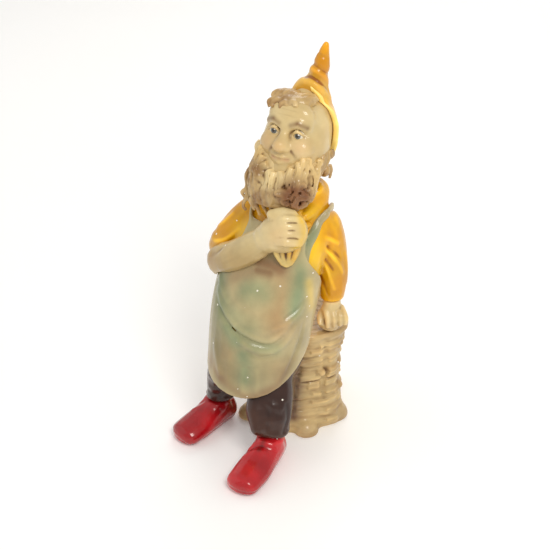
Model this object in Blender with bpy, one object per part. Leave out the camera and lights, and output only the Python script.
"""A garden gnome who leans on a tree stump, as the separately moulded pieces it is luted from.

The figure faces -Y, +X is its own left, and it stands on z = 0. Stations and sizes are in
millimetres and become metres where a mesh is made. Most pieces are lofts: rings that follow a
short list of stations, hollow where the casting is hollow, and cut back from the neighbour
they are seated on. Run it with: blender --background --python part.py
"""

import math

import bmesh
import bpy
from mathutils import Euler, Matrix, Vector

MM = 0.001
SEAM = 0.35  # the slip joint between two pieces
CLAY = 6.0  # wall of the hollow castings
LAY = 1.0  # how far the cloth stands off the body
CLOTH = 3.6  # thickness of the apron's relief
COLLAR = 4.8
BRACE = 3.4  # thickness of the straps and of the waist tie
SIDES = 24  # points round a large ring
LIMB_SIDES = 14  # points round an arm, a leg or a root
MIDDLE = (-17.3, -42.6)  # the middle of the footprint, which becomes the origin

STUMP_TOP = 116.0
SEAT_SLAB = 9.0
HIP = 98.0  # where the trousers meet the shirt, under the apron
SIDE_SEAM = -12.0  # the y of the joint between the front and the back of the body
BIB_TOP = 240.0
HEM = 75.0

# The body, from the crotch to the neck: middle x, middle y, height, half width, half depth.
BODY = [
    (-15, -57, 44, 46, 42), (-15, -57, 62, 46, 42), (-16, -55, 80, 46, 43), (-16, -51, HIP, 46, 44),
    (-15, -47, 122, 47, 46), (-13, -42, 150, 48, 47), (-11, -34, 176, 48, 43), (-7, -24, 202, 47, 37),
    (-3, -14, 226, 47, 31), (-1, -8, 241, 42, 27), (2, -4, 253, 31, 23), (4, -1, 266, 24, 21),
]

HEAD = Matrix.Translation((4, 1, 320)) @ Euler((math.radians(-18), 0, math.radians(-4))).to_matrix().to_4x4()

COLOURS = {
    "bark": ((0.55, 0.40, 0.24), 0.5),
    "skin": ((0.72, 0.57, 0.38), 0.35),
    "hair": ((0.45, 0.29, 0.16), 0.45),
    "shirt": ((0.86, 0.55, 0.08), 0.3),
    "hat": ((0.87, 0.49, 0.10), 0.3),
    "apron": ((0.66, 0.66, 0.48), 0.35),
    "trousers": ((0.12, 0.07, 0.06), 0.3),
    "boot": ((0.60, 0.03, 0.04), 0.2),
}


# ---------------------------------------------------------------- rings and lofts

def through(stations, steps):
    """A smooth run through the given stations, with so many steps between each pair."""
    last = len(stations) - 1
    run = []
    for i in range(last):
        before, here = stations[max(i - 1, 0)], stations[i]
        there, after = stations[i + 1], stations[min(i + 2, last)]
        for k in range(steps):
            t = k / steps
            run.append(tuple(
                0.5 * (2 * b + (c - a) * t + (2 * a - 5 * b + 4 * c - d) * t * t
                       + (3 * b - a - 3 * c + d) * t ** 3)
                for a, b, c, d in zip(before, here, there, after)
            ))
    run.append(tuple(float(value) for value in stations[last]))
    return run


def frames_of(run, across, straight):
    """The width, depth and forward ways at each station. Without across, the rings lie flat."""
    if across is None:
        return [(Vector((1, 0, 0)), Vector((0, 1, 0)), Vector((0, 0, 1)))] * len(run)
    middles = [Vector(station[:3]) for station in run]
    if straight:  # every ring is upright and square to the way from the first to the last
        ahead = ((middles[-1] - middles[0]) * Vector((1, 1, 0))).normalized()
        return [(ahead.cross(Vector((0, 0, 1))), Vector((0, 0, 1)), ahead)] * len(run)
    frames = []
    for i in range(len(run)):
        ahead = (middles[min(i + 1, len(run) - 1)] - middles[max(i - 1, 0)]).normalized()
        depth = ahead.cross(Vector(across)).normalized()
        frames.append((depth.cross(ahead), depth, ahead))
    return frames


def cap(station, ahead, way):
    """The shrinking stations that round off an end."""
    depth = 0.9 * min(station[3], station[4])
    made = []
    for rise in (0.45, 0.8, 0.97):
        share = math.sqrt(1 - rise * rise)
        middle = Vector(station[:3]) + ahead * (way * depth * rise)
        made.append((*middle, station[3] * share, station[4] * share))
    return made


def loft(rings):
    """A mesh through the rings, closed by a flat face on each end."""
    bm = bmesh.new()
    rows = [[bm.verts.new(point * MM) for point in ring] for ring in rings]
    count = len(rows[0])
    for low, high in zip(rows, rows[1:]):
        for k in range(count):
            after = (k + 1) % count
            bm.faces.new((low[k], low[after], high[after], high[k]))
    bm.faces.new(rows[0][::-1])
    bm.faces.new(rows[-1])
    bmesh.ops.recalc_face_normals(bm, faces=bm.faces[:])
    return bm


def tube(outer, inner, floor=False):
    """A hollow casting between two sets of rings, open at both ends or floored at the start."""
    bm = bmesh.new()
    rows = [[bm.verts.new(point * MM) for point in ring] for ring in outer + inner[::-1]]
    pairs = list(zip(rows, rows[1:])) if floor else list(zip(rows, rows[1:] + rows[:1]))
    for low, high in pairs:
        for k in range(len(low)):
            after = (k + 1) % len(low)
            bm.faces.new((low[k], low[after], high[after], high[k]))
    if floor:
        bm.faces.new(rows[0][::-1])
        bm.faces.new(rows[-1])
    bmesh.ops.recalc_face_normals(bm, faces=bm.faces[:])
    return bm


class Form:
    """A lofted form. It makes its piece, and slightly larger copies that cut its neighbours."""

    def __init__(self, stations, steps=3, sides=LIMB_SIDES, across=None, straight=False,
                 rounds=(False, False), lobes=None, place=None):
        run = through(stations, steps)
        frames = frames_of(run, across, straight)
        if rounds[1]:
            tip = cap(run[-1], frames[-1][2], 1)
            run, frames = run + tip, frames + [frames[-1]] * len(tip)
        if rounds[0]:
            tail = cap(run[0], frames[0][2], -1)
            run, frames = tail[::-1] + run, [frames[0]] * len(tail) + frames
        self.run, self.frames = run, frames
        self.sides, self.lobes, self.place = sides, lobes, place

    def rings(self, grow=0.0):
        """The points of every ring. lobes(turn, station) swells a ring as it goes round."""
        rings = []
        for i, (station, (width_way, depth_way, ahead)) in enumerate(zip(self.run, self.frames)):
            past = grow * ((i == len(self.run) - 1) - (i == 0))
            middle = Vector(station[:3]) + ahead * past
            ring = []
            for k in range(self.sides):
                turn = math.tau * k / self.sides
                swell = self.lobes(turn, station) if self.lobes else 1.0
                point = (middle + width_way * math.cos(turn) * (station[3] * swell + grow)
                         + depth_way * math.sin(turn) * (station[4] * swell + grow))
                ring.append(self.place @ point if self.place else point)
            rings.append(ring)
        return rings

    def piece(self, name, finish):
        return as_object(name, loft(self.rings()), finish)

    def casting(self, name, finish, wall=CLAY, floor=0):
        """The hollow piece. A floor leaves that many of the first rings solid."""
        inner = self.rings(-wall)[floor:]
        for ring, flat in zip((inner[0], inner[-1]), (self.run[floor], self.run[-1])):
            for point in ring:
                point.z = flat[2]
        return as_object(name, tube(self.rings(), inner, floor > 0), finish)

    def cutter(self, name, grow=SEAM):
        return as_object("cut_" + name, loft(self.rings(grow)))


# ---------------------------------------------------------------- objects

def clear_scene():
    for obj in list(bpy.data.objects):
        bpy.data.objects.remove(obj)


def material(name):
    """The one material of each finish, made the first time it is asked for."""
    found = bpy.data.materials.get(name)
    if found:
        return found
    colour, roughness = COLOURS[name]
    made = bpy.data.materials.new(name)
    made.use_nodes = True
    surface = made.node_tree.nodes["Principled BSDF"]
    surface.inputs["Base Color"].default_value = (*colour, 1)
    surface.inputs["Roughness"].default_value = roughness
    return made


def as_object(name, bm, finish=None):
    """A shown piece if it has a finish, and otherwise a hidden cutter."""
    bmesh.ops.translate(bm, verts=bm.verts, vec=Vector((-MIDDLE[0], -MIDDLE[1], 0)) * MM)
    mesh = bpy.data.meshes.new(name)
    bm.to_mesh(mesh)
    bm.free()
    obj = bpy.data.objects.new(name, mesh)
    bpy.context.scene.collection.objects.link(obj)
    if finish:
        mesh.materials.append(material(finish))
        mesh.shade_smooth()
        mesh.set_sharp_from_angle(angle=math.radians(40))
    else:
        obj.hide_render = True
        obj.display_type = "WIRE"
    return obj


def thicken(obj, thickness):
    """Turns an open sheet into a relief whose thickness goes inwards."""
    shell = obj.modifiers.new("thickness", "SOLIDIFY")
    shell.thickness = thickness * MM
    shell.offset = -1
    shell.use_quality_normals = True


def boolean(obj, operation, others):
    for other in others:
        modifier = obj.modifiers.new(operation.lower() + "_" + other.name, "BOOLEAN")
        modifier.operation = operation
        modifier.solver = "EXACT"
        modifier.object = other


def cut(obj, *cutters):
    boolean(obj, "DIFFERENCE", cutters)


def block(name, low, high, place=Matrix()):
    """A hidden block between two corners, to cut with."""
    bm = bmesh.new()
    bmesh.ops.create_cube(bm, size=1)
    for vert in bm.verts:
        corner = Vector([(a + b) / 2 + c * (b - a) for a, b, c in zip(low, high, vert.co)])
        vert.co = (place @ corner) * MM
    return as_object(name, bm)


def swelling(name, centre, radii, place):
    """A hidden ellipsoid, to be joined to a piece."""
    bm = bmesh.new()
    bmesh.ops.create_icosphere(bm, subdivisions=3, radius=1)
    for vert in bm.verts:
        local = Vector([c + r * v for c, r, v in zip(centre, radii, vert.co)])
        vert.co = (place @ local) * MM
    return as_object(name, bm)


# ---------------------------------------------------------------- tree stump

def bark_lobes(turn, station):
    """The trunk isn't round: it swells into buttresses that fade with height."""
    fade = math.exp(-station[2] / 45)
    return 1 + 0.03 * math.cos(5 * turn + 0.6) + 0.09 * fade * math.cos(4 * turn + 0.9)


def stump(ground):
    """The hollow trunk, its sawn seat and the roots round its foot."""
    under_seat = STUMP_TOP - SEAT_SLAB
    trunk = Form([
        (8, 4, 0, 42, 43), (8, 4, 10, 41, 42), (9, 4, 30, 38, 38), (10, 5, 60, 36, 36),
        (11, 6, 85, 36, 36), (12, 6, under_seat, 39, 38),
    ], steps=2, sides=SIDES, lobes=bark_lobes)
    seat = Form([
        (12, 6, under_seat + SEAM, 40, 39), (12, 6, STUMP_TOP - 4, 43, 41), (12, 6, STUMP_TOP, 41, 39),
    ], steps=1, sides=SIDES, lobes=bark_lobes)
    roots = {
        "root_front": [(2, -30, 4, 18, 22), (-4, -42, 2, 16, 18), (-10, -50, 1, 13, 14)],
        "root_left": [(22, -24, 4, 18, 24), (27, -30, 2, 16, 19), (30, -34, 1, 13, 14)],
        "root_right": [(-22, -12, 4, 16, 20), (-30, -24, 2, 14, 17), (-36, -34, 1, 12, 13)],
        "root_side": [(34, 2, 4, 18, 26), (42, 5, 3, 16, 20), (46, 7, 1, 13, 15)],
        "root_back": [(14, 40, 4, 18, 22), (17, 50, 2, 15, 17), (19, 58, 1, 11, 12)],
    }
    trunk.casting("stump_trunk", "bark", CLAY + 1)
    seat.piece("stump_seat", "bark")
    wood = [trunk.cutter("trunk"), seat.cutter("seat")]
    for name, stations in roots.items():
        root = Form(stations, across=(1, 0, 0), straight=True, rounds=(False, True))
        cut(root.piece(name, "bark"), ground, *wood)
        wood.append(root.cutter(name))
    return wood


# ---------------------------------------------------------------- trousers and boots

def trousers_and_boots(wood, ground):
    """The seat of the trousers is a bowl under the body, and a leg and a boot go below each side."""
    hips = Form([
        (-16, -51, 72, 26, 24), (-16, -51, 75, 34, 32), (-16, -51, 80, 39, 37), (-16, -51, 88, 43, 41),
        (*BODY[3][:2], HIP - SEAM, *BODY[3][3:]),
    ], steps=1, sides=SIDES)
    cut(hips.casting("trousers_seat", "trousers", floor=3), *wood)
    hips_cutter = hips.cutter("hips")
    legs = {
        "left": [(8, -66, 82, 18, 18), (12, -72, 70, 18.5, 18), (16, -82, 50, 17, 16), (17, -88, 34, 14, 14.5)],
        "right": [(-42, -54, 82, 18, 19), (-49, -55, 72, 19, 19), (-55, -54, 52, 16, 16), (-58, -53, 34, 13, 14.5)],
    }
    # A boot runs heel, ankle, instep, toe: its half height follows the foot down to the toe cap.
    boots = {
        "left": [(16, -82, 14, 13, 15), (16, -90, 19, 15, 21), (15, -105, 15, 16, 17),
                 (13, -125, 11, 18.5, 13), (11, -145, 9, 17.5, 11)],
        "right": [(-56, -47, 14, 13, 15), (-59, -54, 19, 15, 21), (-64, -68, 15, 16, 17),
                  (-71, -85, 11, 18, 13), (-76, -98, 9, 17.5, 11)],
    }
    cutters = list(wood)
    for side in ("left", "right"):
        boot = Form(boots[side], across=(1, 0, 0), straight=True, rounds=(True, True))
        leg = Form(legs[side], across=(1, 0, 0))
        cut(boot.piece(side + "_boot", "boot"), ground, *wood)
        cut(leg.piece(side + "_leg", "trousers"), hips_cutter, boot.cutter(side + "_boot"), *cutters)
        cutters.append(leg.cutter(side + "_leg"))
    return cutters


# ---------------------------------------------------------------- body and clothes

BODY_RUN = through(BODY, 8)


def body_at(height):
    """The body's station at a height."""
    for low, high in zip(BODY_RUN, BODY_RUN[1:]):
        if low[2] <= height <= high[2]:
            share = (height - low[2]) / (high[2] - low[2])
            return tuple(a + (b - a) * share for a, b in zip(low, high))
    return BODY_RUN[0] if height < BODY_RUN[0][2] else BODY_RUN[-1]


def on_body(turn, height, off):
    """A point off the body. A turn of 0 is the front, and it grows towards the figure's left."""
    x, y, z, half_width, half_depth = body_at(height)
    return Vector((x + math.sin(turn) * (half_width + off), y - math.cos(turn) * (half_depth + off), z))


def torso(wood):
    """The body is pressed in a front and a back mould, and the halves are luted at the sides."""
    top = BODY[-1][2]
    form = Form([body_at(HIP + (top - HIP) * k / 16) for k in range(17)], steps=1, sides=SIDES)
    for name, low, high in (
        ("torso_front", -200, SIDE_SEAM - SEAM / 2),
        ("torso_back", SIDE_SEAM + SEAM / 2, 200),
    ):
        half = form.casting(name, "shirt")
        boolean(half, "INTERSECT", [block("keep_" + name, (-200, low, 0), (200, high, 300))])
        cut(half, *wood)
    return form


def sheet(name, grid, finish, thickness):
    """A relief laid over the body, from a grid of points on its outer face."""
    bm = bmesh.new()
    rows = [[bm.verts.new(point * MM) for point in line] for line in grid]
    for low, high in zip(rows, rows[1:]):
        for k in range(len(low) - 1):
            bm.faces.new((low[k], low[k + 1], high[k + 1], high[k]))
    made = as_object(name, bm, finish)
    thicken(made, thickness)
    return made


def apron_reach(height):
    """How far round the body the apron goes: narrow at the bib and wide at the skirt."""
    share = min(max((BIB_TOP - 14 - height) / 50, 0), 1)
    return math.radians(40 + 56 * share * share * (3 - 2 * share))


def apron_grid(off, grow=0.0):
    """The apron's outer face. Its hem drops to the middle and climbs to the figure's left."""
    rows, columns = 18, 16
    grid = []
    for i in range(rows + 1):
        line = []
        for k in range(columns + 1):
            across = 2 * k / columns - 1
            low = HEM + 42 * max(across, 0) ** 2 + 26 * min(across, 0) ** 2 - grow
            height = low + (BIB_TOP + grow - low) * i / rows
            reach = apron_reach(height) + grow / 45
            line.append(on_body(across * reach, height, off))
        grid.append(line)
    return grid


def ribbon(path, width, off):
    """A grid for a strap whose middle follows (turn in degrees, height) points round the body."""
    run = [(math.radians(turn), height) for turn, height in through(path, 3)]
    grid = []
    for i, (turn, height) in enumerate(run):
        before, after = run[max(i - 1, 0)], run[min(i + 1, len(run) - 1)]
        middle = on_body(turn, height, off)
        along = on_body(*after, off) - on_body(*before, off)
        outward = middle - Vector(body_at(height)[:3])
        side = along.cross(outward).normalized() * (width / 2)
        grid.append([middle - side, middle, middle + side])
    return grid


def apron_and_collar(below, body_cut, others):
    """The apron, the shirt's collar, the straps over the shoulders and the tie behind the waist."""
    cut(sheet("apron", apron_grid(LAY + CLOTH), "apron", CLOTH), *below, body_cut)
    laid = [sheet("cut_apron", apron_grid(LAY + CLOTH + SEAM, SEAM), None, CLOTH + LAY + 2 * SEAM)]
    tie = [(97, 166), (125, 164), (150, 162), (180, 161), (210, 162), (235, 164), (263, 166)]
    cut(sheet("apron_tie", ribbon(tie, 9, LAY + BRACE), "apron", BRACE), *others, *laid)
    laid.append(sheet("cut_apron_tie", ribbon(tie, 9 + 2 * SEAM, LAY + BRACE + SEAM), None,
                      BRACE + LAY + 2 * SEAM))
    bands = {
        "collar": ("shirt", 11, COLLAR, [(7, 247), (40, 254), (90, 260), (135, 261), (179, 260)]),
        "strap": ("apron", 8, BRACE, [(33, 232), (52, 243), (75, 248), (105, 248), (138, 238), (156, 206),
                                      (162, 162)]),
    }
    for kind, (finish, width, thickness, path) in bands.items():
        for side, way in (("left", 1), ("right", -1)):
            name = side + "_" + kind
            turned = [(way * turn, height) for turn, height in path]
            band = sheet(name, ribbon(turned, width, LAY + thickness), finish, thickness)
            cut(band, body_cut, *others, *laid)
            laid.append(sheet("cut_" + name, ribbon(turned, width + 2 * SEAM, LAY + thickness + SEAM),
                              None, thickness + LAY + 2 * SEAM))


# ---------------------------------------------------------------- arms

def arms(wood, body_cut, clothed):
    """Each sleeve with its hand: the left one leans on the stump, the right one is folded up."""
    left_sleeve = Form([
        (31, -2, 229, 17, 19), (35, -2, 214, 17.5, 19), (39, -2, 192, 16.5, 18), (42, -4, 168, 14.5, 15),
        (43, -6, 151, 11.5, 12),
    ], across=(1, 0, 0), rounds=(True, False))
    left_hand = Form([
        (43, -6, 150.6, 8.5, 9), (43, -7, 142, 10, 10), (43, -9, 132, 12.5, 11), (42, -12, 125, 12, 9),
    ], across=(1, 0, 0), rounds=(False, True))
    right_sleeve = Form([
        (-39, -9, 230, 17, 19), (-48, -13, 220, 17.5, 19), (-59, -20, 204, 17, 18), (-64, -26, 194, 16.5, 17),
    ], across=(1, 0, 0), rounds=(True, True))
    right_forearm = Form([
        (-59, -38, 186, 17, 18), (-40, -50, 200, 17, 17.5), (-20, -56, 219, 15, 15), (-4, -57, 234, 12.5, 12.5),
    ], across=(0, 1, 0), rounds=(True, False))
    right_hand = Form([
        (-3.6, -57, 234.3, 12.5, 12.5), (4, -57, 240, 17, 17.5), (14, -56, 245, 18, 20), (21, -54, 248, 16, 18),
    ], across=(0, 1, 0), rounds=(False, True))
    held_cloth = Form([
        (19, -50, 236, 11, 8), (19, -52, 226, 10, 7), (18, -54, 216, 6, 5),
    ], across=(1, 0, 0), rounds=(False, True))

    cut(left_sleeve.piece("left_sleeve", "shirt"), body_cut)
    cut(left_hand.piece("left_hand", "skin"), left_sleeve.cutter("left_sleeve"), clothed, *wood)
    cut(right_sleeve.piece("right_sleeve", "shirt"), body_cut)
    sleeve_cut = right_sleeve.cutter("right_sleeve")
    cut(right_forearm.piece("right_forearm", "skin"), clothed, sleeve_cut)
    forearm_cut, hand_cut = right_forearm.cutter("right_forearm"), right_hand.cutter("right_hand")
    cut(right_hand.piece("right_hand", "skin"), clothed, forearm_cut)
    cut(held_cloth.piece("held_cloth", "shirt"), clothed, forearm_cut, hand_cut)
    return [left_sleeve.cutter("left_shoulder"), sleeve_cut], [forearm_cut, hand_cut]


# ---------------------------------------------------------------- head and hat

def head_and_hat(collared, limbs):
    """A hollow head on the neck, its beard and hair, and a peaked hat on the back of it."""
    neck_top = BODY[-1][2]
    head_form = Form([
        (0, 15, -62, 19, 17), (0, 10, -52, 20, 20), (0, 3, -40, 24, 25), (0, -1, -28, 28, 30),
        (0, 0, -14, 30, 32), (0, 0, 0, 29.5, 33), (0, 1, 14, 28, 31), (0, 3, 27, 22, 24), (0, 4, 33, 13, 14),
    ], steps=2, sides=SIDES, rounds=(False, True), place=HEAD)
    inside = Form([
        (0, 19, -72, 13, 12), (0, 10, -52, 14, 13), (0, 3, -38, 18, 19), (0, 1, -14, 23, 25),
        (0, 1, 2, 23, 26), (0, 2, 15, 19, 21), (0, 3, 23, 12, 14),
    ], steps=2, sides=SIDES, place=HEAD)
    nose = swelling("join_nose", (0, -33, -7), (7, 8, 6.5), HEAD)
    head = head_form.piece("head", "skin")
    boolean(head, "UNION", [nose])
    below_neck = block("cut_below_neck", (-60, -60, 200), (60, 60, neck_top + SEAM))
    cut(head, inside.cutter("head_inside"), below_neck)
    head_cut = head_form.cutter("head")

    # The hat's edge lies in a plane that leans back through the crown and the nape.
    edge = HEAD @ Matrix.Translation((0, 17, 6)) @ Matrix.Rotation(math.radians(25.5), 4, "X")
    behind = block("keep_behind_edge", (-70, 0, -38), (70, 90, 120), edge)
    rim = block("keep_rim", (-70, -5, -38), (70, -SEAM, 70), edge)
    in_front = block("cut_behind_rim", (-70, -5 - SEAM, -90), (70, 90, 90), edge)
    peak = Form([
        (4, 11, 16, 21, 22), (4, 9, 34, 16, 16), (5, 7, 46, 10.5, 12), (7, 4, 56, 9, 9),
        (10, 1, 66, 8.5, 8.5), (12, -2, 78, 5.5, 5.5), (14, -4, 87, 3, 3),
    ], steps=2, across=(1, 0, 0), rounds=(False, True), place=HEAD)
    hat = as_object("hat", loft(head_form.rings(4.5)), "hat")
    boolean(hat, "UNION", [peak.cutter("peak", 0)])
    boolean(hat, "INTERSECT", [behind])
    cut(hat, head_cut)
    brim = as_object("hat_brim", loft(head_form.rings(6.5)), "hat")
    boolean(brim, "INTERSECT", [rim])
    cut(brim, head_cut)

    beard_form = Form([
        (-2, -12, -16, 28, 18), (-3, -14, -34, 31, 21), (-3, -18, -52, 31, 20), (-2, -22, -66, 23, 14),
    ], steps=2, sides=32, rounds=(True, True), place=HEAD,
        lobes=lambda turn, station: 1 + 0.035 * math.cos(8 * turn))
    beard = beard_form.piece("beard", "hair")
    cut(beard, collared, head_cut, in_front, *limbs)
    beard_cut = beard_form.cutter("beard")
    tufts = {
        "forelock": ([(-20, -12, 24, 5, 5), (-12, -21, 27, 7, 7), (0, -24, 30, 7, 7), (12, -18, 31, 6, 6),
                      (20, -6, 29, 4, 4)], (0, 0, 1)),
        "left_hair": ([(28, 0, -8, 4, 4), (29, 8, -20, 7, 7), (26, 14, -34, 6, 6)], (1, 0, 0)),
        "right_hair": ([(-28, 0, -8, 4, 4), (-29, 8, -20, 7, 7), (-26, 14, -34, 6, 6)], (1, 0, 0)),
        "back_hair": ([(21, 24, -34, 5, 6), (12, 31, -36, 6, 9), (-12, 31, -36, 6, 9), (-21, 24, -34, 5, 6)],
                      (0, 1, 0)),
    }
    hat_cuts = [
        block("cut_hat_gap", (-70, -5 - SEAM, -38 - SEAM), (70, 90, 90), edge),
    ]
    for name, (stations, across) in tufts.items():
        tuft = Form(stations, across=across, rounds=(True, True), place=HEAD)
        cut(tuft.piece(name, "hair"), head_cut, *hat_cuts, beard_cut, collared, *limbs)
    return head_cut, beard_cut


clear_scene()
GROUND = block("cut_ground", (-200, -300, -80), (200, 200, 0))
WOOD = stump(GROUND)
BELOW = trousers_and_boots(WOOD, GROUND)
TORSO = torso(WOOD)
BODY_CUT = TORSO.cutter("torso")
SLEEVES, HANDS = arms(WOOD, BODY_CUT, TORSO.cutter("clothed", LAY + CLOTH + 2 * SEAM))
HEAD_CUTS = head_and_hat(TORSO.cutter("collared", LAY + COLLAR + 2 * SEAM), SLEEVES + HANDS)
apron_and_collar(BELOW + SLEEVES, BODY_CUT, SLEEVES + HANDS + list(HEAD_CUTS))
